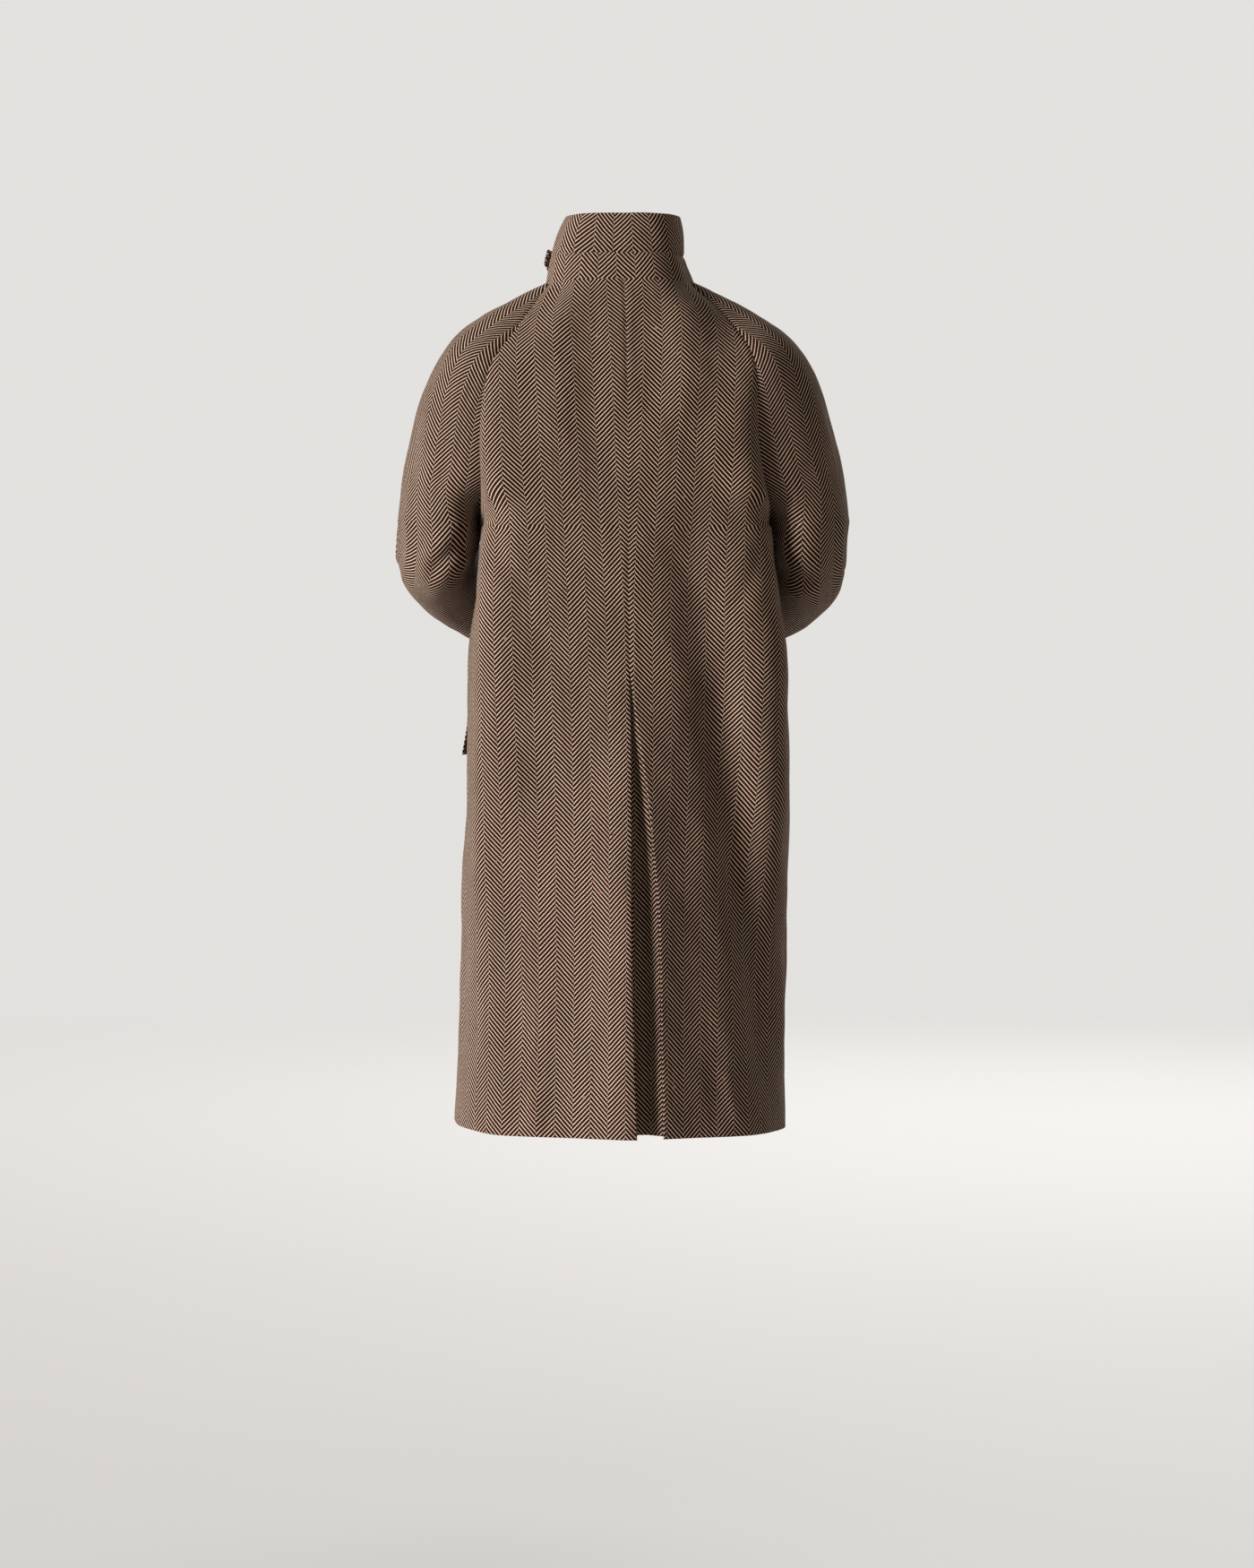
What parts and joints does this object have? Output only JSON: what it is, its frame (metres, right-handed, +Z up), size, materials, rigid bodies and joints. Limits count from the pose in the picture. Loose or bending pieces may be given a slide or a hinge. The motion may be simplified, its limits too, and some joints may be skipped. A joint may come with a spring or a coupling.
{
  "type": "raglan coat",
  "caption": "Long raglan coat in herringbone tweed, kept hollow in its worn form, with a turned-up collar, bent sleeves, pocket flaps and an open vent at the back.",
  "frame": {"origin": "middle of the neck at the level of the back neck seam, where the coat hangs from the shoulders", "axes": "+Z up, the front faces -Y, and the wearer's left is +X"},
  "size_m": [0.6226, 0.4989, 1.2471],
  "materials": {
    "tweed": "brushed wool herringbone",
    "button": "polished horn"
  },
  "bodies": {
    "root": {"back_left": "tweed", "back_right": "tweed", "vent_underlap": "tweed", "front_left": "tweed", "front_right": "tweed", "sleeve_left_back": "tweed", "sleeve_left_front": "tweed", "sleeve_right_back": "tweed", "sleeve_right_front": "tweed", "collar_stand": "tweed", "collar_fall": "tweed", "throat_tab": "tweed", "pocket_flap_left": "tweed", "pocket_flap_right": "tweed", "throat_button": "button", "button_1": "button", "button_2": "button", "button_3": "button", "button_4": "button"}
  },
  "joints": []
}
